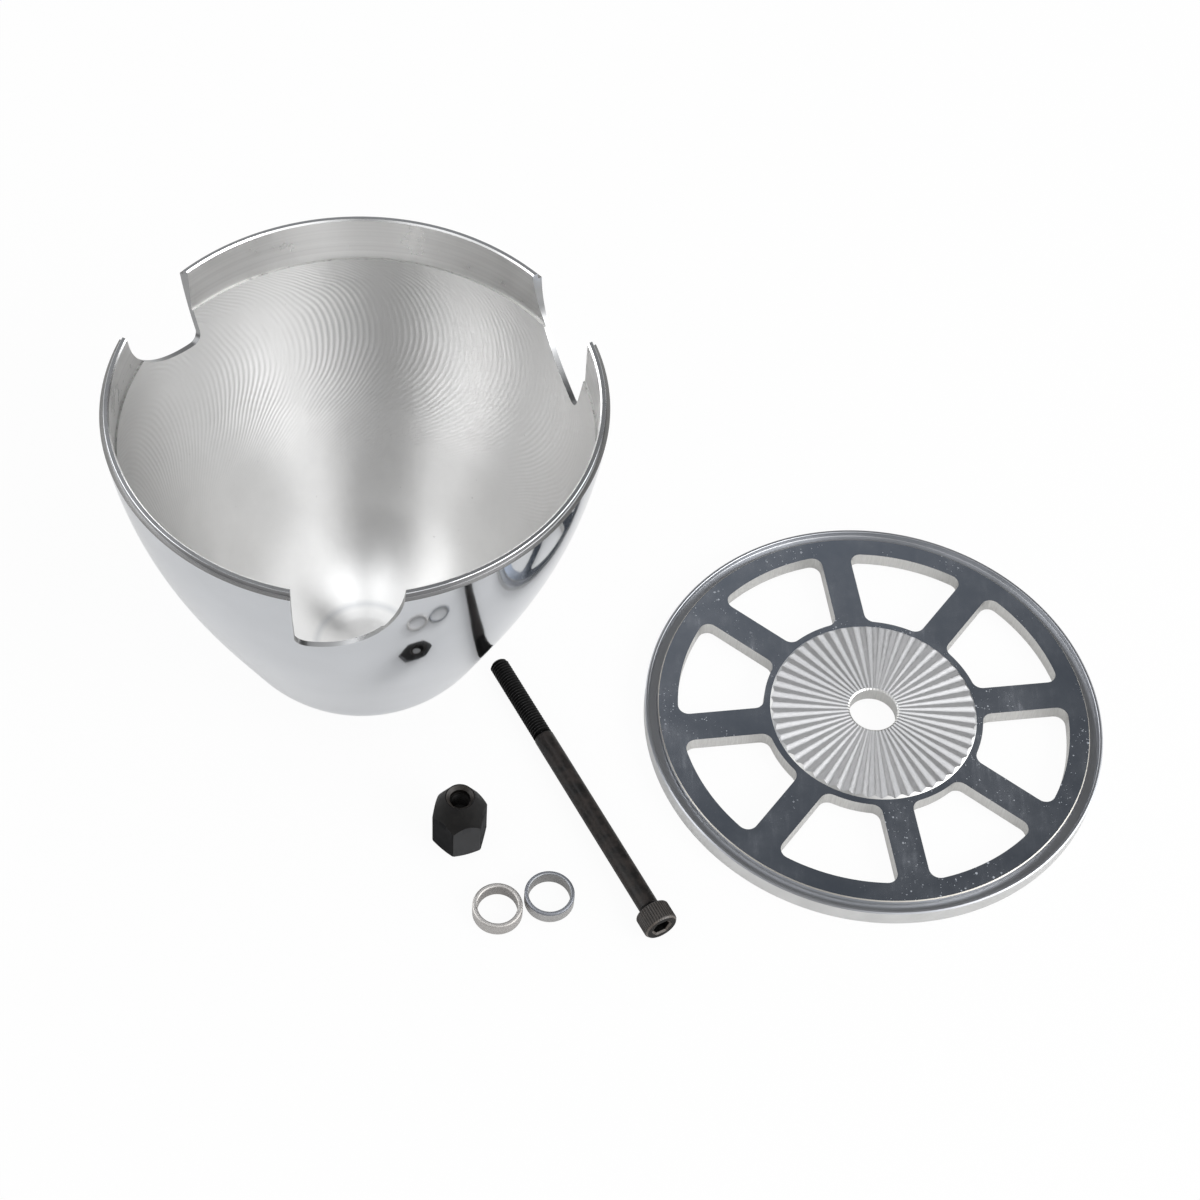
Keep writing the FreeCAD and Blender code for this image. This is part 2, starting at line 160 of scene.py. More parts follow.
def grid_piece(name, rows, band_slots, finishes, closed=True):
    """A surface through rows of points that each run once round an axis.

    rows has the shape (rows, columns, 3). finishes maps names to materials, and each band between
    two rows has the name of its finish. Where closed is true the last row joins the first. U of the
    UV map runs round the axis from 0 to 1, and V is the length along the section in millimetres.
    """
    rows = np.asarray(rows, float)
    count, columns = rows.shape[:2]
    bands = count if closed else count - 1
    step = np.linalg.norm(np.diff(rows, axis=0), axis=2).mean(axis=1)
    along = np.concatenate([[0], np.cumsum(step)])
    last = along[-1] + np.linalg.norm(rows[0] - rows[-1], axis=1).mean()
    order = list(finishes)
    faces, face_slots, uvs = [], [], []
    for i in range(bands):
        j = (i + 1) % count
        low, high = along[i], along[j] if j else last
        for k in range(columns):
            m = (k + 1) % columns
            faces.append((i * columns + k, i * columns + m, j * columns + m, j * columns + k))
            u, w = k / columns, (k + 1) / columns
            uvs.extend([(u, low), (w, low), (w, high), (u, high)])
        face_slots.extend([order.index(band_slots[i])] * columns)
    return add_piece(name, rows.reshape(-1, 3), faces, finishes.values(), face_slots, uvs)


def turned(name, runs, columns, finishes, warp=None):
    """A turned closed piece from runs of section points: a finish's name and its (radius, z) pairs.

    Where a run starts it repeats the last point of the run before. warp may change the radii and
    heights of the whole grid: it takes and returns (radius, z), given each column's angle.
    """
    section, band_slots = [], []
    for slot, points in runs:
        start = 1 if section else 0
        section.extend(points[start:])
        band_slots.extend([slot] * (len(points) - 1))
    band_slots.append(runs[-1][0])
    section = np.array(section, float)
    if np.allclose(section[0], section[-1]):
        section = section[:-1]
    angle = np.arange(columns) * 2 * math.pi / columns
    radius = np.repeat(section[:, :1], columns, axis=1)
    height = np.repeat(section[:, 1:], columns, axis=1)
    if warp:
        radius, height = warp(radius, height, angle)
    rows = np.stack([radius * np.cos(angle), radius * np.sin(angle), height], axis=2)
    return grid_piece(name, rows, band_slots, finishes)


class Rows:
    """Rows of a grid about an axis, whose radius or height may change round the axis."""

    def __init__(self, columns):
        self.angle = np.arange(columns) * 2 * math.pi / columns
        self.rows, self.slots = [], []

    def add(self, radius, height, slot):
        shape = self.angle.shape
        self.rows.append((np.broadcast_to(radius, shape), np.broadcast_to(height, shape)))
        self.slots.append(slot)

    def build(self, name, finishes, closed):
        cosine, sine = np.cos(self.angle), np.sin(self.angle)
        grid = np.array([[r * cosine, r * sine, h] for r, h in self.rows]).transpose(0, 2, 1)
        return grid_piece(name, grid, self.slots, finishes, closed)


def hexagon(angle, half):
    """Radius of a hexagon with flats at half from its middle, one of them facing the angle 0."""
    from_flat = (angle + math.pi / 6) % (math.pi / 3) - math.pi / 6
    return half / np.cos(from_flat)


def arc_points(centre, radius, start, end, count):
    """Points of a section's arc, between two angles."""
    return [(centre[0] + radius * math.cos(a), centre[1] + radius * math.sin(a))
            for a in np.linspace(start, end, count)]


def prism(name, outline, low, high, place, material):
    """A closed prism for cutting: outline has 2-D points, and place maps (a, b, h) to a point."""
    count = len(outline)
    points = [place(a, b, h) for h in (low, high) for a, b in outline]
    faces = [tuple(range(count)), tuple(range(2 * count - 1, count - 1, -1))]
    faces += [(i, i + count, (i + 1) % count + count, (i + 1) % count) for i in range(count)]
    uvs = [(0.5, 0.5)] * sum(len(face) for face in faces)
    return add_piece(name, points, faces, [material], [0] * len(faces), uvs)


def turns(count, offset=0.0):
    """Rotation matrices about Z that share a full turn evenly, offset in shares of the pitch."""
    for i in range(count):
        yield np.array(Matrix.Rotation(2 * math.pi * (i + offset) / count, 3, "Z"))


def cut(piece, cutters):
    """Take the cutters away from the piece; the new walls get the cutters' material."""
    for cutter in cutters:
        step = piece.modifiers.new("cut", "BOOLEAN")
        step.operation = "DIFFERENCE"
        step.solver = "EXACT"
        step.material_mode = "TRANSFER"
        step.object = cutter
    shown = piece.evaluated_get(bpy.context.evaluated_depsgraph_get())
    mesh = bpy.data.meshes.new_from_object(shown)
    piece.modifiers.clear()
    piece.data = mesh
    for cutter in cutters:
        bpy.data.objects.remove(cutter)
    clean(mesh)


def settle(piece, node):
    """Put a piece that was built about the origin where its CAD node lies, to stand for it."""
    points = np.array([v.co for v in piece.data.vertices])
    low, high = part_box(node)
    centre = (points.min(0) + points.max(0)) / 2
    stand(piece, node, ((low.x + high.x) / 2 - centre[0], (low.y + high.y) / 2 - centre[1],
                              low.z - points[:, 2].min()))


def stand(piece, node, place):
    """Move a piece to its place and let it stand for its CAD node."""
    piece.location = place
    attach(piece, "root")
    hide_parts(node)


# --- Materials ----------------------------------------------------------------------------------

class Shader:
    """A material's node tree with short calls for the nodes that it is made of."""

    def __init__(self, name, colour, roughness, metallic=1.0):
        self.material = bpy.data.materials.new(name)
        self.material.use_nodes = True
        self.tree = self.material.node_tree
        self.surface = self.tree.nodes["Principled BSDF"]
        self.surface.inputs["Base Color"].default_value = (*colour, 1)
        self.surface.inputs["Roughness"].default_value = roughness
        self.surface.inputs["Metallic"].default_value = metallic
        self.colour = colour

    def add(self, kind, settings=None, **inputs):
        made = self.tree.nodes.new(kind)
        for key, value in (settings or {}).items():
            setattr(made, key, value)
        for key, value in inputs.items():
            self.feed(made.inputs[key.replace("_", " ")], value)
        return made

    def feed(self, socket, value):
        if isinstance(value, bpy.types.NodeSocket):
            self.tree.links.new(value, socket)
        else:
            socket.default_value = value

    def maths(self, operation, *values):
        made = self.tree.nodes.new("ShaderNodeMath")
        made.operation = operation
        for socket, value in zip(made.inputs, values):
            self.feed(socket, value)
        return made.outputs[0]

    def place(self):
        """Object coordinates in millimetres."""
        source = self.add("ShaderNodeTexCoord").outputs["Object"]
        made = self.tree.nodes.new("ShaderNodeVectorMath")
        made.operation = "SCALE"
        self.feed(made.inputs["Vector"], source)
        made.inputs["Scale"].default_value = 1 / MM
        return made.outputs[0]

    def turned_place(self):
        """U round the axis, V along the section, from the UV map."""
        source = self.add("ShaderNodeUVMap", {"uv_map": "turned"}).outputs[0]
        parts = self.add("ShaderNodeSeparateXYZ", Vector=source)
        return parts.outputs[0], parts.outputs[1]

    def join(self, x, y, z=0.0):
        return self.add("ShaderNodeCombineXYZ", X=x, Y=y, Z=z).outputs[0]

    def noise(self, where, scale, detail=3.0, roughness=0.5):
        made = self.add("ShaderNodeTexNoise", Vector=where, Scale=scale, Detail=detail, Roughness=roughness)
        return made.outputs[0]

    def spread(self, value, low, high, to_low, to_high):
        made = self.add("ShaderNodeMapRange", {"clamp": True})
        for socket, number in zip(made.inputs, (value, low, high, to_low, to_high)):
            self.feed(socket, number)
        return made.outputs[0]

    def mix(self, share, first, second):
        made = self.add("ShaderNodeMix", {"data_type": "RGBA"})
        for key, value in ((0, share), (6, first), (7, second)):
            if isinstance(value, tuple):
                value = (*value, 1)
            self.feed(made.inputs[key], value)
        return made.outputs[2]

    def bump(self, height, distance, strength=1.0, after=None):
        made = self.add("ShaderNodeBump", Height=height, Strength=strength, Distance=distance)
        if after:
            self.feed(made.inputs["Normal"], after)
        return made.outputs[0]

    def finish(self, colour=None, roughness=None, normal=None):
        for key, value in (("Base Color", colour), ("Roughness", roughness), ("Normal", normal)):
            if value is not None:
                self.feed(self.surface.inputs[key], value)
        return self.material

    def brushed(self, amount):
        """Stretch highlights across turning marks that run round the axis."""
        self.surface.inputs["Anisotropic"].default_value = amount
        self.surface.inputs["Anisotropic Rotation"].default_value = 0.25
        tangent = self.add("ShaderNodeTangent", {"direction_type": "UV_MAP", "uv_map": "turned"})
        self.feed(self.surface.inputs["Tangent"], tangent.outputs[0])


def polished(name, colour, roughness=0.05, smudge=0.05, wave=0.02):
    """Mirror polish with faint smears and the last trace of waviness."""
    shader = Shader(name, colour, roughness)
    where = shader.place()
    smear = shader.noise(where, 0.06, 4.0)
    worn = shader.spread(smear, 0.35, 0.75, roughness, roughness + smudge)
    tone = shader.mix(shader.spread(smear, 0.3, 0.7, 0.0, 1.0), colour, tuple(0.94 * c for c in colour))
    swell = shader.noise(where, 0.11, 2.0)
    return shader.finish(tone, worn, shader.bump(swell, wave * MM))


def satin(name, colour, roughness):
    """Plain machined metal with soft, slightly uneven gloss."""
    shader = Shader(name, colour, roughness)
    cloud = shader.noise(shader.place(), 0.12, 2.0, 0.5)
    tone = shader.mix(shader.spread(cloud, 0.3, 0.7, 0.0, 1.0), colour, tuple(0.92 * c for c in colour))
    worn = shader.spread(cloud, 0.3, 0.7, roughness * 0.9, roughness * 1.1)
    return shader.finish(tone, worn)


def turned_finish(name, colour, roughness, stretch=0.6, stain=0.0):
    """Turned metal: highlights drawn across the marks, faint rings and, where asked, dark stains."""
    shader = Shader(name, colour, roughness)
    shader.brushed(stretch)
    around, along = shader.turned_place()
    rings = shader.noise(shader.join(shader.maths("MULTIPLY", around, 2.0),
                                     shader.maths("MULTIPLY", along, 0.9)), 1.0, 2.0)
    cloud = shader.noise(shader.place(), 0.12, 4.0, 0.6)
    tone = shader.mix(shader.spread(rings, 0.3, 0.7, 0.0, 1.0), colour, tuple(0.9 * c for c in colour))
    if stain:
        blot = shader.spread(shader.noise(shader.place(), 0.55, 4.0, 0.7), 0.55, 0.68, 0.0, stain)
        tone = shader.mix(blot, tone, tuple(0.35 * c for c in colour))
    worn = shader.spread(cloud, 0.3, 0.7, roughness * 0.85, roughness * 1.2)
    return shader.finish(tone, worn)


def rippled_finish(name, colour, roughness):
    """The cone's inside: satin, with the chatter of the boring tool as fine lines in its upper part.

    The chatter has a whole number of waves per turn where the lines stand upright. Away from that
    height each turn of the tool shifts them further round the axis, so that they lean and bend.
    """
    shader = Shader(name, colour, roughness)
    shader.brushed(0.8)
    where = shader.place()
    parts = shader.add("ShaderNodeSeparateXYZ", Vector=where).outputs
    around = shader.maths("ARCTAN2", parts[1], parts[0])
    uneven = shader.spread(shader.noise(where, 0.03, 2.0), 0.3, 0.7, -2.5, 2.5)
    height = shader.maths("ADD", parts[2], uneven)
    below_upright = shader.maths("SUBTRACT", height, CHATTER_UPRIGHT)
    lean = shader.maths("MULTIPLY", shader.maths("MULTIPLY", below_upright, below_upright), CHATTER_LEAN)
    hook = shader.maths("MULTIPLY", shader.spread(height, 80.0, 88.0, 0.0, 1.0), 2.0)
    phase = shader.maths("SUBTRACT", shader.maths("ADD", lean, hook),
                         shader.maths("MULTIPLY", around, CHATTER_WAVES / (2 * math.pi)))
    wave = shader.maths("SINE", shader.maths("MULTIPLY", phase, 2 * math.pi))
    fade = shader.spread(height, 28.0, 56.0, 0.0, 1.0)
    patch = shader.spread(parts[0], -25.0, 12.0, 1.0, 0.55)
    chatter = shader.maths("MULTIPLY", wave, shader.maths("MULTIPLY", fade, patch))
    normal = shader.bump(chatter, CHATTER_DEPTH * MM)
    cloud = shader.noise(where, 0.07, 4.0, 0.6)
    normal = shader.bump(cloud, 0.10 * MM, after=normal)
    speck = shader.spread(shader.noise(where, 0.8, 2.0), 0.74, 0.8, 0.0, 0.35)
    tone = shader.mix(shader.spread(cloud, 0.35, 0.65, 0.0, 1.0), colour, tuple(0.95 * c for c in colour))
    # Painted shade: the inside's colour darkens upwards, from 45 to 80 mm high.
    painted_shade_to_top = shader.spread(height, 45.0, 80.0, 0.0, 1.0)
    tone = shader.mix(painted_shade_to_top, tone, tuple(0.83 * c for c in colour))
    tone = shader.mix(speck, tone, tuple(0.5 * c for c in colour))
    # Painted shade: a faint dark blue-grey ring in the nose, where the inside's floor would meet its wall.
    radius = shader.maths("SQRT", shader.maths("ADD", shader.maths("MULTIPLY", parts[0], parts[0]),
                                               shader.maths("MULTIPLY", parts[1], parts[1])))
    away = shader.maths("ABSOLUTE", shader.maths("SUBTRACT", radius, PAINTED_SHADE_RING))
    tone = shader.mix(shader.spread(away, 0.0, PAINTED_SHADE_RING_WIDTH, 0.4, 0.0), tone, (0.45, 0.47, 0.50))
    return shader.finish(tone, None, normal)


def spotted_mirror(name, colour, roughness=0.05):
    """The backplate's face: a mirror with dried water spots, wipe marks and pale clouds."""
    shader = Shader(name, colour, roughness)
    where = shader.place()
    dots = None
    for pitch, share in ((1.0, 0.72), (0.55, 0.68)):
        cells = shader.add("ShaderNodeTexVoronoi", Vector=where, Scale=1 / pitch, Randomness=1.0)
        wanted = shader.add("ShaderNodeSeparateXYZ", Vector=cells.outputs["Color"]).outputs[0]
        size = shader.maths("MULTIPLY", shader.spread(wanted, share, 1.0, 0.0, 1.0), 0.36)
        inside = shader.maths("SUBTRACT", size, cells.outputs["Distance"])
        spot = shader.spread(inside, -0.02, 0.06, 0.0, 1.0)
        dots = spot if dots is None else shader.maths("MAXIMUM", dots, spot)
    splashed = shader.spread(shader.noise(where, 0.055, 3.0), 0.46, 0.60, 0.0, 1.0)
    dots = shader.maths("MULTIPLY", dots, splashed)
    cloud = shader.spread(shader.noise(where, 0.045, 5.0, 0.62), 0.36, 0.68, 0.0, 1.0)
    parts = shader.add("ShaderNodeSeparateXYZ", Vector=where).outputs
    strokes = shader.noise(shader.join(shader.maths("MULTIPLY", parts[0], 0.5),
                                       shader.maths("MULTIPLY", parts[1], 0.09)), 1.0, 4.0, 0.65)
    wipes = shader.maths("MULTIPLY", shader.spread(strokes, 0.5, 0.8, 0.0, 0.7), cloud)
    cloud = shader.maths("ADD", shader.maths("MULTIPLY", cloud, 0.75), wipes)
    tone = shader.mix(shader.maths("MULTIPLY", cloud, 0.7), colour, (0.80, 0.84, 0.92))
    tone = shader.mix(shader.maths("MULTIPLY", dots, 0.5), tone, (0.88, 0.90, 0.93))
    haze = shader.maths("MAXIMUM", shader.maths("MULTIPLY", dots, 0.9),
                        shader.maths("MULTIPLY", cloud, 0.5))
    worn = shader.spread(haze, 0.0, 1.0, roughness, 0.5)
    return shader.finish(tone, worn, shader.bump(dots, 0.003 * MM))


def milled(name, colour, roughness):
    """Walls left by a milling cutter: light grey, with fine marks up and down."""
    shader = Shader(name, colour, roughness)
    where = shader.place()
    parts = shader.add("ShaderNodeSeparateXYZ", Vector=where)
    marks = shader.noise(shader.join(shader.maths("MULTIPLY", parts.outputs[0], 4.0),
                                     shader.maths("MULTIPLY", parts.outputs[1], 4.0),
                                     shader.maths("MULTIPLY", parts.outputs[2], 0.25)), 1.0, 3.0, 0.6)
    tone = shader.mix(shader.spread(marks, 0.3, 0.7, 0.0, 1.0), colour, tuple(0.85 * c for c in colour))
    worn = shader.spread(marks, 0.3, 0.7, roughness * 0.8, roughness * 1.25)
    return shader.finish(tone, worn, shader.bump(marks, 0.006 * MM))


def serrated_finish(name, colour, roughness):
    """The hub: bright satin with scratches along the serrations."""
    shader = Shader(name, colour, roughness, 0.85)
    around, along = shader.turned_place()
    scratch = shader.noise(shader.join(shader.maths("MULTIPLY", around, 900.0),
                                       shader.maths("MULTIPLY", along, 0.5)), 1.0, 4.0, 0.7)
    grain = shader.noise(shader.place(), 2.2, 3.0, 0.6)
    tone = shader.mix(shader.spread(scratch, 0.35, 0.7, 0.0, 1.0), colour, tuple(0.78 * c for c in colour))
    worn = shader.spread(grain, 0.3, 0.7, roughness * 0.75, roughness * 1.35)
    normal = shader.bump(scratch, 0.006 * MM)
    return shader.finish(tone, worn, shader.bump(grain, 0.006 * MM, after=normal))


def black_oxide(name, colour, warm, roughness, mottle=0.35, gloss=0.3, knurls=0):
    """Blackened steel with brownish mottling and rubbed spots, and painted light and shade in stripes along
    a knurl's grooves.
    """
    shader = Shader(name, colour, roughness, 0.0)
    shader.surface.inputs["Specular IOR Level"].default_value = gloss
    where = shader.place()
    cloud = shader.noise(where, mottle, 5.0, 0.65)
    fleck = shader.noise(where, 3.2, 3.0, 0.7)
    tone = shader.mix(shader.spread(cloud, 0.4, 0.68, 0.0, 1.0), colour, warm)
    rubbed = tuple(min(1.0, 3.2 * c) for c in warm)
    tone = shader.mix(shader.spread(fleck, 0.66, 0.8, 0.0, 0.5), tone, rubbed)
    # Painted light and shade: stripes of a lighter copy of the warm tone along the knurl's grooves.
    if knurls:
        around = shader.turned_place()[0]
        wave = shader.maths("FRACT", shader.maths("MULTIPLY", around, float(knurls)))
        ridge = shader.maths("ABSOLUTE", shader.maths("SUBTRACT", wave, 0.5))
        tone = shader.mix(shader.spread(ridge, 0.12, 0.38, 0.0, 1.0), tuple(2.6 * c for c in warm), tone)
    worn = shader.spread(cloud, 0.3, 0.7, roughness * 0.85, roughness * 1.25)
    return shader.finish(tone, worn, shader.bump(fleck, 0.008 * MM))


# --- Cone ---------------------------------------------------------------------------------------

def cone_outline(offset, nose_start, nose_count=26, flank_count=46):
    """Nose arc and flank, moved inwards by offset, from the angle nose_start up to the rim."""
    nose_z = math.sqrt(NOSE_RADIUS ** 2 - SEAT_RADIUS ** 2)
    radius = NOSE_RADIUS - offset
    nose = arc_points((0, nose_z), radius, nose_start, -NOSE_END_ANGLE, nose_count)
    start = np.array(nose[-1])
    rim = np.array([RIM_RADIUS - offset * math.cos(RIM_DRAFT), CONE_HEIGHT + offset * math.sin(RIM_DRAFT)])
    handle = FLANK_FULLNESS * np.linalg.norm(rim - start)
    first = start + handle * np.array([math.sin(NOSE_END_ANGLE), math.cos(NOSE_END_ANGLE)])
    second = rim - handle * np.array([math.sin(RIM_DRAFT), math.cos(RIM_DRAFT)])
    flank = []
    for t in np.linspace(0, 1, flank_count)[1:]:
        point = ((1 - t) ** 3 * start + 3 * (1 - t) ** 2 * t * first
                 + 3 * (1 - t) * t ** 2 * second + t ** 3 * rim)
        flank.append(tuple(point))
    return nose + flank


def below(points, height):
    """The part of a rising section below a height, ended exactly there."""
    kept = [p for p in points if p[1] < height]
    before, after = kept[-1], points[len(kept)]
    share = (height - before[1]) / (after[1] - before[1])
    return kept + [(before[0] + share * (after[0] - before[0]), height)]


def cutout_outline():
    """The cut-out as seen from outside: straight side, small corner, sweep and open top."""
    side = -CUTOUT_WIDTH / 2
    sweep = (CUTOUT_WIDTH ** 2 + CUTOUT_DEPTH ** 2) / (2 * CUTOUT_DEPTH)
    centre_z = CONE_HEIGHT + sweep - CUTOUT_DEPTH
    corner_y = side + CUTOUT_CORNER
    corner_z = centre_z - math.sqrt((sweep - CUTOUT_CORNER) ** 2 - CUTOUT_CORNER ** 2)
    tangent = math.atan2(corner_z - centre_z, CUTOUT_CORNER)
    corner = arc_points((corner_y, corner_z), CUTOUT_CORNER, -math.pi, tangent, 12)
    curve = arc_points((side, centre_z), sweep, tangent, 0, 44)[1:]
    top = centre_z + 1
    return corner + curve + [(curve[-1][0], top), (side, top)]


def cone_runs():
    """The cone's section, from the hole in the nose up the outside and down the inside."""
    nose_z = math.sqrt(NOSE_RADIUS ** 2 - SEAT_RADIUS ** 2)
    outer = cone_outline(0, -math.acos(SEAT_RADIUS / NOSE_RADIUS))
    floor_angle = -math.asin((nose_z - FLOOR_THICKNESS) / (NOSE_RADIUS - WALL))
    inner = below(cone_outline(WALL, floor_angle), BAND_BOTTOM)
    top = CONE_HEIGHT + TONGUE_HEIGHT
    ledge_end = (TONGUE_OUTER + LEDGE_FILLET, CONE_HEIGHT)
    side_top = (TONGUE_OUTER, top - TONGUE_EDGE)
    chamfer_start = (TONGUE_INNER + TONGUE_CHAMFER, top)
    chamfer_end = (TONGUE_INNER, top - TONGUE_CHAMFER)
    band = [(TONGUE_INNER, z) for z in np.linspace(chamfer_end[1], BAND_BOTTOM, 6)]
    return [
        ("outside", [(NOSE_HOLE, 0), outer[0]]),
        ("outside", outer),
        ("ledge", [outer[-1], ledge_end]),
        ("shoulder", [ledge_end, (TONGUE_OUTER, CONE_HEIGHT + TONGUE_EDGE), side_top]),
        ("tongue", [side_top, (TONGUE_OUTER - TONGUE_EDGE, top), chamfer_start]),
        ("chamfer", [chamfer_start, chamfer_end]),
        ("band", band),
        ("step", [band[-1], inner[-1]]),
        ("inside", inner[::-1]),
        ("inside", [inner[0], (NOSE_HOLE, FLOOR_THICKNESS), (NOSE_HOLE, 0)]),
    ]


def make_cone():
    finishes = {
        # The outside's colour is darker and bluer than bright polish: partly painted shade, standing in for
        # the shaded floor that its mirror reflects.
        "outside": polished("polished_outside", (0.585, 0.60, 0.625)),
        "inside": rippled_finish("rippled_inside", (0.85, 0.846, 0.84), 0.32),
        "band": turned_finish("turned_band", (0.86, 0.855, 0.848), 0.30),
        "ledge": turned_finish("turned_ledge", (0.66, 0.655, 0.645), 0.24, stain=0.15),
        "cut": satin("satin_cut", (0.35, 0.352, 0.356), 0.30),
        # The step is dark as painted shade of its shadow line, with dark stain blots over it.
        "step": turned_finish("painted_shade_and_stain_step", (0.46, 0.46, 0.45), 0.45, stain=0.95),
        # Painted shade: near black along the tongue's outer wall and the corner at its foot.
        "shoulder": turned_finish("painted_shade_shoulder", (0.20, 0.20, 0.205), 0.30),
        "tongue": turned_finish("turned_tongue", (0.64, 0.65, 0.67), 0.22, stain=0.2),
        "chamfer": polished("bright_chamfer_inside", (0.86, 0.86, 0.86), 0.18),
    }
    cone = turned("cone", cone_runs(), CONE_COLUMNS, finishes)
    cutters = []
    for i, turn in enumerate(turns(CUTOUT_COUNT)):
        cutters.append(prism(f"cutout_{i}", cutout_outline(), RIM_RADIUS / 2, RIM_RADIUS + CLEAR_CUT,
                             lambda a, b, h, turn=turn: turn @ np.array((h, a, b)), finishes["cut"]))
    cut(cone, cutters)
    cone.data.transform(Matrix.Rotation(CUTOUT_AZIMUTH, 4, "Z"))
    # A cut-out takes part of the rim on the near side, so the far side gives the axis.
    low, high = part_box("spinner_cone")
    stand(cone, "spinner_cone", ((low.x + high.x) / 2, high.y - RIM_RADIUS * MM, low.z))


# --- Backplate ----------------------------------------------------------------------------------

def window_corner(distance, outward):
    """A window's round corner beside a spoke along +X, its centre at a distance from the axis."""
    middle = SPOKE_HALF + WINDOW_CORNER
    centre = (math.sqrt(distance ** 2 - middle ** 2), middle)
    radial = math.atan2(centre[1], centre[0])
    start, end = (-0.5 * math.pi, radial) if outward else (radial + math.pi, 1.5 * math.pi)
    return arc_points(centre, WINDOW_CORNER, start, end, 9)


def window_arc(radius, start, end, count):
    """Points of an arc about the axis, without its two ends."""
    angles = np.linspace(np.angle(start), np.angle(end), count)[1:-1]
    return [radius * complex(math.cos(a), math.sin(a)) for a in angles]


def window_outline():
    """One window about +X: two arcs about the axis and two sides along the spokes, round corners."""
    side = (window_corner(WINDOW_INNER + WINDOW_CORNER, outward=False)
            + window_corner(WINDOW_OUTER - WINDOW_CORNER, outward=True))
    half_pitch = math.pi / WINDOWS
    turn = complex(math.cos(-half_pitch), math.sin(-half_pitch))
    lower = [complex(*p) * turn for p in side]
    upper = [p.conjugate() for p in reversed(lower)]
    points = (lower + window_arc(WINDOW_OUTER, lower[-1], upper[0], 22)
              + upper + window_arc(WINDOW_INNER, upper[-1], lower[0], 14))
    return [(p.real, p.imag) for p in points]


def serrate(radius, height, angle):
    """Lower the hub's top by V grooves whose depth grows with the distance from the axis."""
    pitch = 2 * math.pi / SERRATIONS
    across = np.abs(((angle / pitch) % 1.0) * 2 - 1)
    rounded = 0.5 - 0.5 * np.cos(math.pi * across)
    wedge = 0.55 * across + 0.45 * rounded
    fall = SERRATION_DEPTH / HUB_EDGE * wedge
    near = 1e-6
    on_top = (height > HUB_TOP - near) & (radius > BORE + BORE_CHAMFER - near)
    edge = on_top & (radius > HUB_EDGE - near)
    reach = HUB_EDGE / (1 - fall)
    new_radius = np.where(edge, reach[None, :], radius)
    new_height = np.where(on_top, HUB_TOP - new_radius * fall[None, :], height)
    return new_radius, new_height


def plate_runs():
    """The backplate's section, from the bore's foot out under the rim and back over the face."""
    rim_foot = (RIM_RADIUS - RIM_EDGE, 0)
    rim_top = (RIM_RADIUS, PLATE_TOP - RIM_EDGE)
    bore_foot = (BORE + BORE_CHAMFER, RELIEF)
    bore_top = (BORE + BORE_CHAMFER, HUB_TOP)
    lip_end = (GROOVE_OUTER, PLATE_TOP - LIP_EDGE)
    groove_end = (GROOVE_INNER, PLATE_TOP - GROOVE_EDGE)
    face_start = (GROOVE_INNER - GROOVE_EDGE, PLATE_TOP)
    return [
        ("hub", [(BORE, RELIEF + BORE_CHAMFER), bore_foot]),
        ("side", [bore_foot, (RELIEF_RADIUS, RELIEF)]),
        ("side", [(RELIEF_RADIUS, RELIEF), (RELIEF_RADIUS, 0), rim_foot]),
        ("side", [rim_foot, (RIM_RADIUS, RIM_EDGE), rim_top]),
        ("lip", [rim_top, (RIM_RADIUS - RIM_EDGE, PLATE_TOP), (GROOVE_OUTER + LIP_EDGE, PLATE_TOP),
                 lip_end]),
        ("groove", [lip_end, (GROOVE_OUTER, GROOVE_FLOOR + GROOVE_FILLET),
                    (GROOVE_OUTER - GROOVE_FILLET, GROOVE_FLOOR),
                    (GROOVE_INNER + GROOVE_FILLET, GROOVE_FLOOR),
                    (GROOVE_INNER, GROOVE_FLOOR + GROOVE_FILLET), groove_end]),
        ("line", [groove_end, face_start]),
        ("face", [face_start, (HUB_FOOT, PLATE_TOP)]),
        ("chamfer", [(HUB_FOOT, PLATE_TOP), (HUB_EDGE, HUB_TOP)]),
        ("hub", [(HUB_EDGE, HUB_TOP), bore_top]),
        ("chamfer", [bore_top, (BORE, HUB_TOP - BORE_CHAMFER)]),
        ("wall", [(BORE, HUB_TOP - BORE_CHAMFER), (BORE, RELIEF + BORE_CHAMFER)]),
    ]


def make_backplate():
    finishes = {
        # The face's blue tint is a painted reflection of the dark blue-grey surroundings that the mirror
        # shows.
        "face": spotted_mirror("spotted_face", (0.53, 0.60, 0.72)),
        "groove": satin("turned_groove", (0.46, 0.47, 0.49), 0.32),
        "side": satin("turned_side", (0.68, 0.68, 0.675), 0.42),
        "hub": serrated_finish("serrated_hub", (0.66, 0.66, 0.668), 0.42),
        "wall": milled("milled_window", (0.66, 0.655, 0.64), 0.34),
        "chamfer": satin("bright_chamfer", (0.62, 0.615, 0.60), 0.36),
        "lip": satin("dark_lip", (0.46, 0.47, 0.495), 0.36),
        "line": satin("warm_groove_edge", (0.56, 0.535, 0.49), 0.46),
    }
    plate = turned("backplate_dressed", plate_runs(), SERRATIONS * 16, finishes, warp=serrate)
    cutters = []
    for i, turn in enumerate(turns(WINDOWS, 0.5)):
        cutters.append(prism(f"window_{i}", window_outline(), -1.0, PLATE_TOP + 1.0,
                             lambda a, b, h, turn=turn: turn @ np.array((a, b, h)), finishes["wall"]))
    cut(plate, cutters)
    plate.data.transform(Matrix.Rotation(SPOKE_AZIMUTH, 4, "Z"))
    settle(plate, "backplate")


# --- Rings --------------------------------------------------------------------------------------

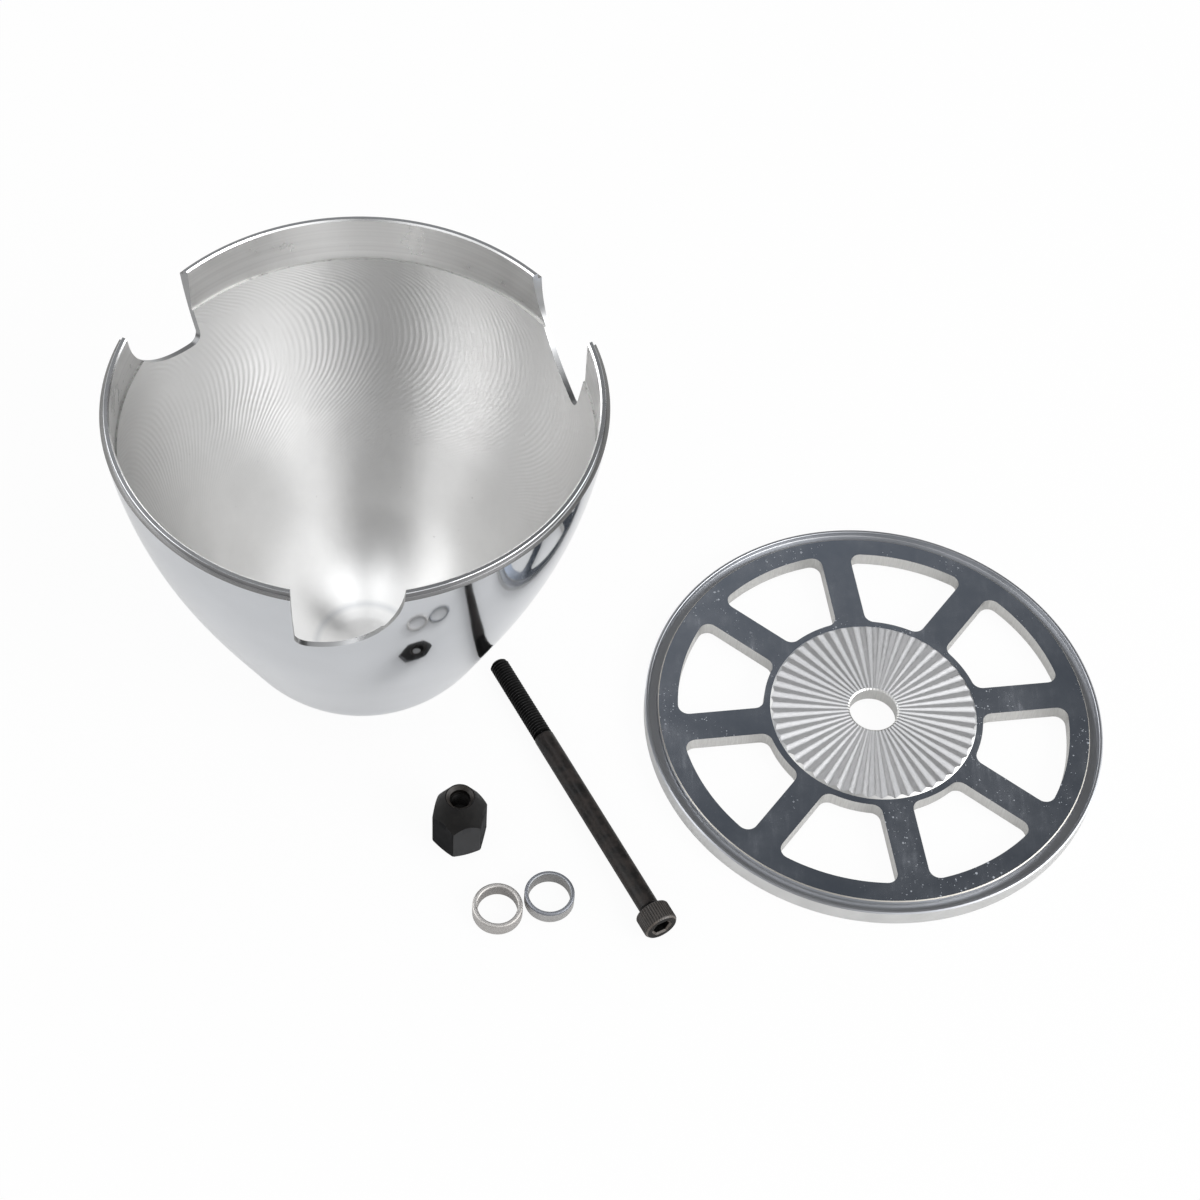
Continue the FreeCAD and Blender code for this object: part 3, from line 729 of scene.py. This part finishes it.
def make_ring(node, bore, chamfer, wall, top, rim):
    """A reducer ring with the colours of its wall, its top and the rim of its bore; its bore takes the
    wall's colour, darkened as painted shade.
    """
    finishes = {
        "wall": satin(node + "_wall", wall, 0.48),
        "top": satin(node + "_top", top, 0.55),
        "rim": satin(node + "_rim", rim, 0.55),
        # Painted shade: the bore is the wall's colour darkened inside the hole.
        "bore": satin(node + "_bore", tuple(0.76 * c for c in wall), 0.48),
    }
    high = RING_HEIGHT
    corner = (RING_OUTER - RING_ROUND, high - RING_ROUND)
    runs = [
        ("wall", [(bore, chamfer), (bore + chamfer, 0), (corner[0], 0),
                  (RING_OUTER, RING_ROUND), (RING_OUTER, corner[1])]),
        ("top", arc_points(corner, RING_ROUND, 0, math.pi / 2, 8)),
        ("top", [(corner[0], high), (bore + chamfer, high)]),
        ("rim", arc_points((bore + chamfer, high - chamfer), chamfer, math.pi / 2, math.pi, 8)),
        ("bore", [(bore, high - chamfer), (bore, chamfer)]),
    ]
    settle(turned(node + "_dressed", runs, 192, finishes), node)


# --- Screw --------------------------------------------------------------------------------------

def wind_thread(rows, tip):
    """The screw's thread as a helix of four points a turn, from the chamfered tip to the runout."""
    shape = ((0.0, THREAD), (0.14, THREAD), (0.5, THREAD_ROOT), (0.64, THREAD_ROOT))
    end = THREAD_LENGTH - THREAD_RUNOUT
    lead = rows.angle / (2 * math.pi)
    for turn in range(-1, int(end / PITCH) + 1):
        for share, radius in shape:
            height = np.clip((turn + share + lead) * PITCH, THREAD_START, end)
            slot = "crest" if share == 0.0 else "thread"
            rows.add(np.minimum(radius, tip + height), height, slot)
    rows.add(THREAD_ROOT, end, "thread")


def raise_head(rows):
    """The knurled head with its round upper edge and its socket."""
    pitch = 2 * math.pi / KNURLS
    groove = KNURL_DEPTH * (1 - np.abs(((rows.angle / pitch) % 1.0) * 2 - 1))
    high = SCREW_LENGTH + HEAD_HEIGHT
    socket = hexagon(rows.angle, SOCKET_HALF)
    rows.add(HEAD - HEAD_EDGE, SCREW_LENGTH, "head")
    rows.add(HEAD - 0.02 - groove * 0.6, SCREW_LENGTH + HEAD_EDGE, "head")
    rows.add(HEAD - groove, SCREW_LENGTH + HEAD_FILLET, "head")
    rows.add(HEAD - groove, high - KNURL_END, "head")
    rows.add(HEAD - BEVEL_DEPTH - groove * 0.35, high - BEVEL_END, "rim")
    rows.add(HEAD - HEAD_ROUND, high, "top")
    rows.add(socket + SOCKET_CHAMFER, high, "rim")
    rows.add(socket, high - SOCKET_CHAMFER, "thread")
    rows.add(socket, high - SOCKET_DEPTH, "thread")
    rows.add(0.0, high - SOCKET_DEPTH - SOCKET_POINT, "thread")


def make_screw():
    finishes = {
        "shank": black_oxide("black_shank", (0.0100, 0.0092, 0.0088), (0.036, 0.029, 0.026), 0.42,
                             0.3, 0.22),
        # Painted shade: this near-black material darkens the thread's flanks and roots, the neck under the
        # head and the socket.
        "thread": black_oxide("black_thread", (0.004, 0.004, 0.004), (0.006, 0.006, 0.006), 0.5,
                              0.5, 0.1),
        "head": black_oxide("black_head", (0.010, 0.0095, 0.0092), (0.028, 0.025, 0.023), 0.38,
                            0.5, 0.25, KNURLS),
        "top": black_oxide("black_head_top", (0.008, 0.008, 0.008), (0.026, 0.023, 0.021), 0.5,
                           0.5, 0.12),
        # Painted highlight: the thread's crests are a lighter copy of the same black.
        "crest": black_oxide("black_crest", (0.022, 0.021, 0.021), (0.030, 0.028, 0.027), 0.4,
                             0.5, 0.3),
        # Painted highlight: the head's round edge, its bevel and the socket's mouth are lighter.
        "rim": black_oxide("painted_highlight_head_rim", (0.070, 0.060, 0.052), (0.12, 0.10, 0.085), 0.36,
                           0.5, 0.5),
    }
    rows = Rows(240)
    tip = THREAD - TIP_CHAMFER
    rows.add(0.0, 0.0, "thread")
    rows.add(tip, 0.0, "thread")
    wind_thread(rows, tip)
    rows.add(THREAD, THREAD_LENGTH, "shank")
    for height in np.linspace(THREAD_LENGTH + SHOULDER, SCREW_LENGTH - 2.0, 14):
        rows.add(SHANK, height, "shank")
    rows.add(SHANK, SCREW_LENGTH - NECK_LOW - 0.1, "shank")
    rows.add(SHANK - NECK_DEPTH, SCREW_LENGTH - NECK_LOW, "thread")
    rows.add(SHANK - NECK_DEPTH, SCREW_LENGTH - HEAD_FILLET, "thread")
    rows.add(SHANK + 0.1, SCREW_LENGTH - 0.1, "thread")
    rows.add(SHANK + HEAD_FILLET, SCREW_LENGTH, "head")
    raise_head(rows)
    screw = rows.build("screw_dressed", finishes, closed=False)
    slope = math.atan2(HEAD - THREAD, SCREW_LENGTH)
    lie = Matrix.Rotation(SCREW_AZIMUTH, 4, "Z") @ Matrix.Rotation(math.pi / 2 - slope, 4, "Y")
    screw.data.transform(lie)
    settle(screw, "cone_screw")


# --- Nut ----------------------------------------------------------------------------------------

def wind_tap(rows, low, high):
    """The nut's inner thread as a helix of four points a turn, from its top down."""
    lead = rows.angle / (2 * math.pi)
    shape = ((0.62, SCREW_TAP), (0.5, SCREW_TAP), (0.12, RELIEF_BORE), (0.0, RELIEF_BORE))
    for turn in range(int((high - low) / PITCH) + 1, -2, -1):
        for share, radius in shape:
            height = np.clip(low + (turn + share + lead) * PITCH, low, high - 0.02)
            rows.add(radius, height, "hole")
    rows.add(SCREW_TAP, low - 0.01, "hole")


def raise_nut(rows):
    """The nut's hexagon under its turned taper, which meets each flat in a curve."""
    blunt = NUT_HALF / math.cos(math.pi / 6) - CORNER_EDGE
    outline = np.minimum(hexagon(rows.angle, NUT_HALF), blunt)
    foot = (outline - NUT_FOOT) * math.tan(NUT_FOOT_ANGLE)
    shoulder = NUT_HEIGHT - (outline - NUT_TOP) / math.tan(NUT_TAPER)
    rows.add(NUT_FOOT, 0.0, "taper")
    for share in (0.0, 0.2, 0.4, 0.6, 0.8):
        rows.add(outline, foot + share * (shoulder - foot), "flats")
    for share in (0.0, 0.2, 0.4, 0.6, 0.8):
        rows.add(outline + share * (NUT_TOP - outline), shoulder + share * (NUT_HEIGHT - shoulder),
                 "taper")
    rows.add(NUT_TOP, NUT_HEIGHT, "taper")


def make_nut():
    finishes = {
        "flats": black_oxide("black_flats", (0.006, 0.0062, 0.007), (0.010, 0.0102, 0.011), 0.62,
                             0.25, 0.06),
        "taper": black_oxide("black_taper", (0.008, 0.0078, 0.0078), (0.014, 0.0132, 0.0128), 0.52,
                             0.4, 0.12),
        "hole": black_oxide("black_hole", (0.005, 0.0048, 0.0045), (0.010, 0.0085, 0.0075), 0.42,
                            0.6, 0.1),
        "sunk": black_oxide("rubbed_countersink", (0.026, 0.023, 0.021), (0.05, 0.043, 0.038), 0.4,
                            0.5, 0.35),
        # Painted light: a lighter copy of the flats' black for every second flat.
        "painted_light_flats": black_oxide("black_flats_painted_light_flats", (0.030, 0.0305, 0.032),
                                    (0.042, 0.0425, 0.045), 0.5, 0.25, 0.16),
    }
    rows = Rows(264)
    rows.add(SHAFT_TAP, SHAFT_MOUTH, "hole")
    rows.add(SHAFT_TAP + SHAFT_MOUTH, 0.0, "taper")
    raise_nut(rows)
    rows.add(SUNK_RADIUS, NUT_HEIGHT, "sunk")
    rows.add(RELIEF_BORE, NUT_HEIGHT - SUNK_DEPTH, "hole")
    rows.add(RELIEF_BORE, NUT_HEIGHT - RELIEF_DEPTH, "hole")
    wind_tap(rows, THREAD_LOW, NUT_HEIGHT - RELIEF_DEPTH)
    rows.add(SHAFT_TAP, SHAFT_DEPTH, "hole")
    nut = rows.build("nut_dressed", finishes, closed=True)
    # Every second flat gets the lighter copy, so the flats alternate light and dark as painted light.
    order = list(finishes)
    for face in nut.data.polygons:
        flat = (math.atan2(face.center.y, face.center.x) + math.pi / 6) // (math.pi / 3)
        if face.material_index == order.index("flats") and int(flat) % 2 == 1:
            face.material_index = order.index("painted_light_flats")
    nut.data.transform(Matrix.Rotation(NUT_CORNER_AZIMUTH - math.pi / 6, 4, "Z"))
    settle(nut, "prop_nut")


make_cone()
make_backplate()
make_ring("reducer_ring_thick", THICK_RING_BORE, THICK_RING_CHAMFER,
          wall=(0.50, 0.484, 0.47), top=(0.50, 0.482, 0.464), rim=(0.50, 0.482, 0.464))
# The thin ring's dark blue-grey top and bore rim are a painted reflection on its flat top, darker than its
# wall.
make_ring("reducer_ring_thin", THIN_RING_BORE, THIN_RING_CHAMFER,
          wall=(0.47, 0.465, 0.46), top=(0.26, 0.27, 0.295), rim=(0.36, 0.37, 0.385))
make_screw()
make_nut()


# --- Floor, light and camera --------------------------------------------------------------------

# Share of plain white in the floor, for the camera and in reflections; the rest is lit paper.
WHITE_TO_CAMERA = 0.94
WHITE_TO_METAL = 0.22
FLOOR_HALF, FLOOR_DROP = 3.0, 0.03 * MM         # half side, and how far it lies below the pieces


def make_floor():
    """Plain pale paper, mostly white to the camera, with the pieces' soft shadow."""
    half = FLOOR_HALF
    corners = [(-half, -half, 0), (half, -half, 0), (half, half, 0), (-half, half, 0)]
    mesh = bpy.data.meshes.new("floor")
    mesh.from_pydata(corners, [], [(0, 1, 2, 3)])
    floor = bpy.data.objects.new("floor", mesh)
    bpy.context.scene.collection.objects.link(floor)
    floor.location.z = -FLOOR_DROP
    material = bpy.data.materials.new("pale_floor")
    material.use_nodes = True
    nodes, links = material.node_tree.nodes, material.node_tree.links
    nodes.clear()
    paper = nodes.new("ShaderNodeBsdfDiffuse")
    paper.inputs["Color"].default_value = (0.93, 0.93, 0.93, 1)
    white = nodes.new("ShaderNodeEmission")
    white.inputs["Strength"].default_value = 1.0
    path = nodes.new("ShaderNodeLightPath")
    shown = nodes.new("ShaderNodeMath")
    shown.operation = "MULTIPLY"
    links.new(path.outputs["Is Camera Ray"], shown.inputs[0])
    shown.inputs[1].default_value = WHITE_TO_CAMERA
    share = nodes.new("ShaderNodeMath")
    share.operation = "MULTIPLY_ADD"
    links.new(path.outputs["Is Glossy Ray"], share.inputs[0])
    share.inputs[1].default_value = WHITE_TO_METAL
    links.new(shown.outputs[0], share.inputs[2])
    mix = nodes.new("ShaderNodeMixShader")
    links.new(share.outputs[0], mix.inputs[0])
    links.new(paper.outputs[0], mix.inputs[1])
    links.new(white.outputs[0], mix.inputs[2])
    out = nodes.new("ShaderNodeOutputMaterial")
    links.new(mix.outputs[0], out.inputs["Surface"])
    mesh.materials.append(material)


# Soft panels that only reflections see: azimuth, elevation and half width in degrees, and strength.
PANELS = (
    ("left", 176, 20, 37, 2.9),
    ("right", 358, 18, 36, 4.2),
    ("back_left_low", 143, 12, 24, 1.8),
    ("back_left", 150, 54, 26, 1.3),
    ("overhead", 262, 80, 33, 1.0),
    ("front_left", 226, 54, 30, 1.2),
    ("front", 289, 26, 25, 1.5),
    ("front_right", 322, 58, 29, 1.4),
    ("back", 105, 14, 52, 0.40),
)
STUDIO_DARK = 0.10
DOME = 0.78                     # plain light for matt surfaces and the floor


def make_world():
    """White for the camera, plain light on matt surfaces, and a studio of panels in reflections."""
    world = bpy.data.worlds.new("studio")
    bpy.context.scene.world = world
    world.use_nodes = True
    nodes, links = world.node_tree.nodes, world.node_tree.links
    nodes.clear()
    coordinates = nodes.new("ShaderNodeTexCoord")
    total = None
    for name, azimuth, elevation, half_width, strength in PANELS:
        azimuth, elevation = math.radians(azimuth), math.radians(elevation)
        toward = nodes.new("ShaderNodeVectorMath")
        toward.operation = "DOT_PRODUCT"
        toward.label = name
        links.new(coordinates.outputs["Generated"], toward.inputs[0])
        toward.inputs[1].default_value = (math.cos(azimuth) * math.cos(elevation),
                                          math.sin(azimuth) * math.cos(elevation), math.sin(elevation))
        panel = nodes.new("ShaderNodeMapRange")
        panel.interpolation_type = "SMOOTHSTEP"
        links.new(toward.outputs["Value"], panel.inputs[0])
        panel.inputs[1].default_value = math.cos(math.radians(half_width))
        panel.inputs[2].default_value = math.cos(math.radians(half_width * 0.15))
        panel.inputs[4].default_value = strength
        add = nodes.new("ShaderNodeMath")
        add.operation = "ADD"
        links.new(panel.outputs[0], add.inputs[0])
        if total:
            links.new(total, add.inputs[1])
        else:
            add.inputs[1].default_value = STUDIO_DARK
        total = add.outputs[0]
    studio = nodes.new("ShaderNodeBackground")
    studio.inputs["Color"].default_value = (0.98, 0.99, 1.0, 1)
    links.new(total, studio.inputs["Strength"])
    plain = nodes.new("ShaderNodeBackground")
    plain.inputs["Color"].default_value = (1, 1, 1, 1)
    path = nodes.new("ShaderNodeLightPath")
    level = nodes.new("ShaderNodeMath")
    level.operation = "MULTIPLY_ADD"
    links.new(path.outputs["Is Camera Ray"], level.inputs[0])
    level.inputs[1].default_value = 1 - DOME
    level.inputs[2].default_value = DOME
    links.new(level.outputs[0], plain.inputs["Strength"])
    mix = nodes.new("ShaderNodeMixShader")
    links.new(path.outputs["Is Glossy Ray"], mix.inputs[0])
    links.new(plain.outputs[0], mix.inputs[1])
    links.new(studio.outputs[0], mix.inputs[2])
    out = nodes.new("ShaderNodeOutputWorld")
    links.new(mix.outputs[0], out.inputs["Surface"])


def make_light(name, place, target, size, power):
    """A round soft lamp, in metres and watts, that faces its target."""
    lamp = bpy.data.lights.new(name, "AREA")
    lamp.shape = "DISK"
    lamp.size = size
    lamp.energy = power
    holder = bpy.data.objects.new(name, lamp)
    bpy.context.scene.collection.objects.link(holder)
    holder.location = place
    holder.rotation_euler = (Vector(target) - Vector(place)).to_track_quat("-Z", "Y").to_euler()


# The camera stands in front of the backplate's axis and above it, and looks along +Y and down.
CAMERA_PLACE = Vector((-92.18, -345.06, 521.9))
CAMERA_PITCH, CAMERA_ROLL = math.radians(51.743), math.radians(-2.255)
CAMERA_LENS, CAMERA_SENSOR, CAMERA_SHIFT = 74.31, 36.0, (0.0727, -0.0833)


def make_camera():
    plate_low, plate_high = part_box("backplate")
    axis = (plate_low + plate_high) / 2
    camera = bpy.data.objects.new("camera", bpy.data.cameras.new("camera"))
    bpy.context.scene.collection.objects.link(camera)
    camera.data.lens = CAMERA_LENS
    camera.data.sensor_width = CAMERA_SENSOR
    camera.data.shift_x, camera.data.shift_y = CAMERA_SHIFT
    roll = CAMERA_ROLL
    forward = Vector((0, math.cos(CAMERA_PITCH), -math.sin(CAMERA_PITCH)))
    down = Vector((0, -math.sin(CAMERA_PITCH), -math.cos(CAMERA_PITCH)))
    right = Vector((1, 0, 0))
    x_axis = math.cos(roll) * right + math.sin(roll) * down
    y_axis = -(-math.sin(roll) * right + math.cos(roll) * down)
    frame_of_view = Matrix((x_axis, y_axis, -forward)).transposed().to_4x4()
    place = Vector((axis.x, axis.y, 0)) + CAMERA_PLACE * MM
    camera.matrix_world = Matrix.Translation(place) @ frame_of_view
    bpy.context.scene.camera = camera


make_floor()
make_world()
make_light("key", place=(1.1, -0.7, 0.8), target=(0, 0, 0), size=0.9, power=9)
make_camera()
bpy.context.scene.view_settings.view_transform = "Standard"
